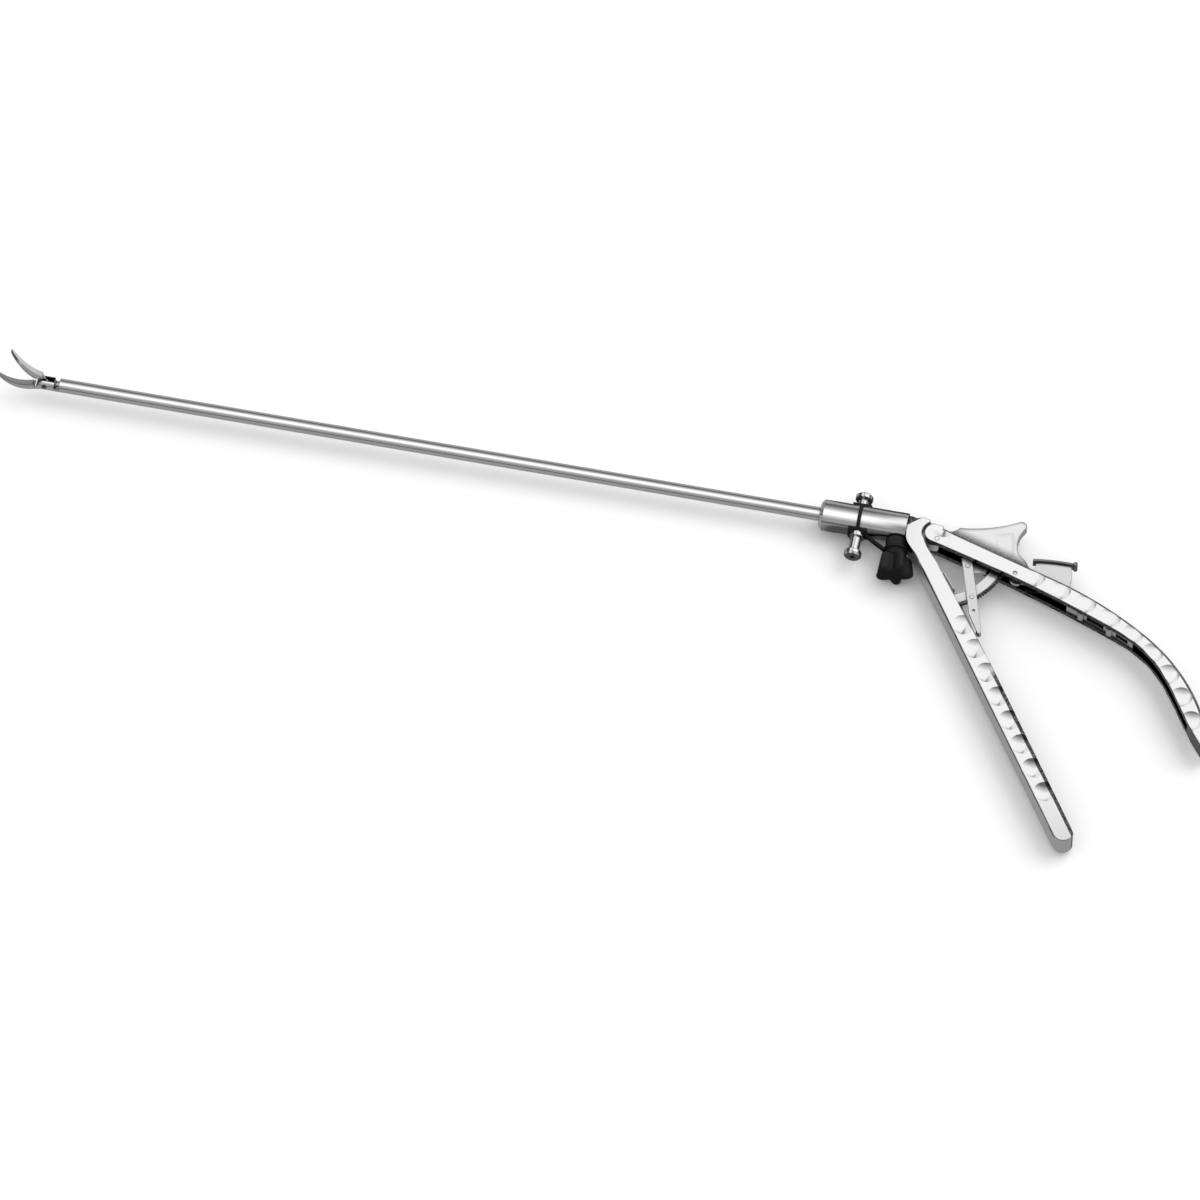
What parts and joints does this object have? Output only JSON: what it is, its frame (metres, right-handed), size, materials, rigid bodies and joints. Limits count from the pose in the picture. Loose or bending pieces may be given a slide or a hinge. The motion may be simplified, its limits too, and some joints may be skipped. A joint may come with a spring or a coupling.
{
  "type": "laparoscopic needle holder",
  "caption": "Slender-shaft needle holder with curved gripping jaws, a V-shaped spring handle, ratchet with release lever, locking cross bolt and capped flush port.",
  "frame": {"origin": "centre of the hub's front face, on the shaft axis", "axes": "+X along the shaft towards the handles, +Y up across the handles in the plane of the V, +Z off the table when the holder lies on its side"},
  "size_m": [0.457, 0.1313, 0.0179],
  "materials": {
    "polished_steel": "polished stainless steel",
    "satin_steel": "satin stainless steel",
    "dark_steel": "dark pin end",
    "carbide": "cross-hatched carbide",
    "black_plastic": "moulded black plastic",
    "black_rubber": "black silicone rubber"
  },
  "bodies": {
    "hub": {"outer_tube": "polished_steel", "fixed_jaw": "satin_steel", "fixed_jaw_insert": "carbide", "jaw_pivot_pin": "dark_steel", "hub_body": "polished_steel", "rod_seal": "black_rubber", "seal_nut": "satin_steel", "bolt_bush": "satin_steel", "flush_port": "polished_steel", "cap_strap": "black_rubber", "port_cap": "black_plastic", "front_handle": "polished_steel", "ratchet_arc": "satin_steel", "ratchet_rivets": "satin_steel", "return_leaf_spring": "satin_steel", "leaf_spring_post": "satin_steel"},
    "rod": {"pull_rod": "satin_steel", "rod_fork": "satin_steel", "jaw_drive_pin": "dark_steel"},
    "jaw": {"moving_jaw": "satin_steel", "moving_jaw_insert": "carbide"},
    "bolt": {"lock_bolt": "polished_steel", "bolt_button": "polished_steel"},
    "rear": {"rear_handle": "polished_steel", "main_pivot_pin": "polished_steel", "rod_pin": "satin_steel", "strut_bracket": "satin_steel", "strut_pin": "satin_steel", "bracket_screw": "satin_steel", "ratchet_guard_fin": "polished_steel", "lever_pin": "satin_steel", "channel_liner": "satin_steel", "liner_screws": "satin_steel"},
    "strut": {"link_strut": "satin_steel", "strut_rivet": "satin_steel"},
    "lever": {"release_lever": "satin_steel", "lever_pad": "polished_steel"}
  },
  "joints": [
    {"name": "rear_handle_hinge", "type": "hinge", "parent": "hub", "child": "rear", "pos_m": [0.0433, -0.0044, 0], "axis": [0, 0, 1], "range_deg": [-24, 0], "stiffness_Nm_per_rad": 0.4, "springref_deg": 11.46},
    {"name": "rod_slide", "type": "slide", "parent": "hub", "child": "rod", "axis": [1, 0, 0], "range_m": [0, 0.00114]},
    {"name": "jaw_hinge", "type": "hinge", "parent": "hub", "child": "jaw", "pos_m": [-0.2842, 0, 0], "axis": [0, 0.9511, -0.309], "range_deg": [-39, 0]},
    {"name": "strut_hinge", "type": "hinge", "parent": "rear", "child": "strut", "pos_m": [0.056, -0.0122, 0], "axis": [0, 0, 1], "range_deg": [0, 36]},
    {"name": "release_lever_hinge", "type": "hinge", "parent": "rear", "child": "lever", "pos_m": [0.0734, -0.0133, 0], "axis": [0, 0, 1], "range_deg": [-10, 0], "stiffness_Nm_per_rad": 0.05, "springref_deg": 8.59},
    {"name": "lock_bolt_slide", "type": "slide", "parent": "hub", "child": "bolt", "axis": [0, 1, 0], "range_m": [-0.002, 0]}
  ],
  "couplings": [
    {"joint": "rod_slide", "follows": "rear_handle_hinge", "m_per_rad": -0.0027},
    {"joint": "jaw_hinge", "follows": "rear_handle_hinge", "ratio": 1.625},
    {"joint": "strut_hinge", "follows": "rear_handle_hinge", "ratio": -1.5}
  ]
}
